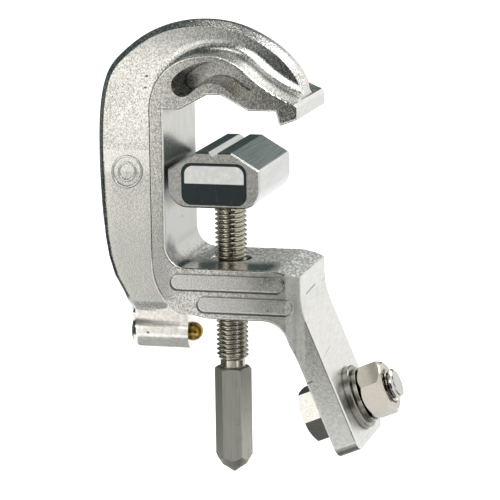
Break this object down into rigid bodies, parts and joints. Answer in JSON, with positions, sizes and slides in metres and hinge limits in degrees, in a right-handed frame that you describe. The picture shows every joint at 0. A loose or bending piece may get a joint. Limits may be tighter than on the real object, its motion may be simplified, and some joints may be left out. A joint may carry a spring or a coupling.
{
  "type": "grounding clamp",
  "caption": "Cast C-shaped line grounding clamp with a screw-driven jaw, a spring plunger boss and a slanted tab with a bolted cable terminal.",
  "frame": {"origin": "where the clamp screw's axis meets the flat top face of the lower arm, on the mid-plane of the casting", "axes": "+Z along the screw towards the hook, +X along the lower arm towards the cable tab, +Y from the nameplate side to the back"},
  "size_m": [0.1138, 0.0452, 0.1699],
  "materials": {
    "cast_aluminium": "sand-cast, lightly blasted",
    "stainless_steel": "rolled thread, drawn hexagon",
    "jaw_aluminium": "extruded and milled",
    "plate_print": "printed metal plate, silver over black, without text",
    "pin_steel": "ground",
    "brass": "turned",
    "spring_steel": "drawn wire",
    "bolt_steel": "stainless",
    "washer_steel": "stainless",
    "nut_steel": "stainless"
  },
  "bodies": {
    "frame": {"frame_casting": "cast_aluminium", "plunger_spring": "spring_steel", "terminal_bolt": "bolt_steel", "flat_washer": "washer_steel", "spring_washer": "washer_steel", "terminal_nut": "nut_steel"},
    "jaw": {"moving_jaw": "jaw_aluminium", "nameplate": "plate_print", "jaw_pin_left": "pin_steel", "jaw_pin_right": "pin_steel"},
    "screw": {"clamp_screw": "stainless_steel"},
    "plunger": {"plunger": "brass"}
  },
  "joints": [
    {"name": "jaw_slide", "type": "slide", "parent": "frame", "child": "jaw", "axis": [0, 0, 1], "range_m": [-0.0215, 0.018]},
    {"name": "screw_spin", "type": "hinge", "parent": "jaw", "child": "screw", "pos_m": [0, 0, 0], "axis": [0, 0, 1], "range_deg": [-4423, 3703]},
    {"name": "plunger_slide", "type": "slide", "parent": "frame", "child": "plunger", "axis": [-1, 0, 0], "range_m": [0, 0.004], "stiffness_N_per_m": 400, "springref_m": -0.005, "deforming": ["plunger_spring"]}
  ],
  "couplings": [
    {"joint": "screw_spin", "follows": "jaw_slide", "rad_per_m": 3590.4}
  ]
}
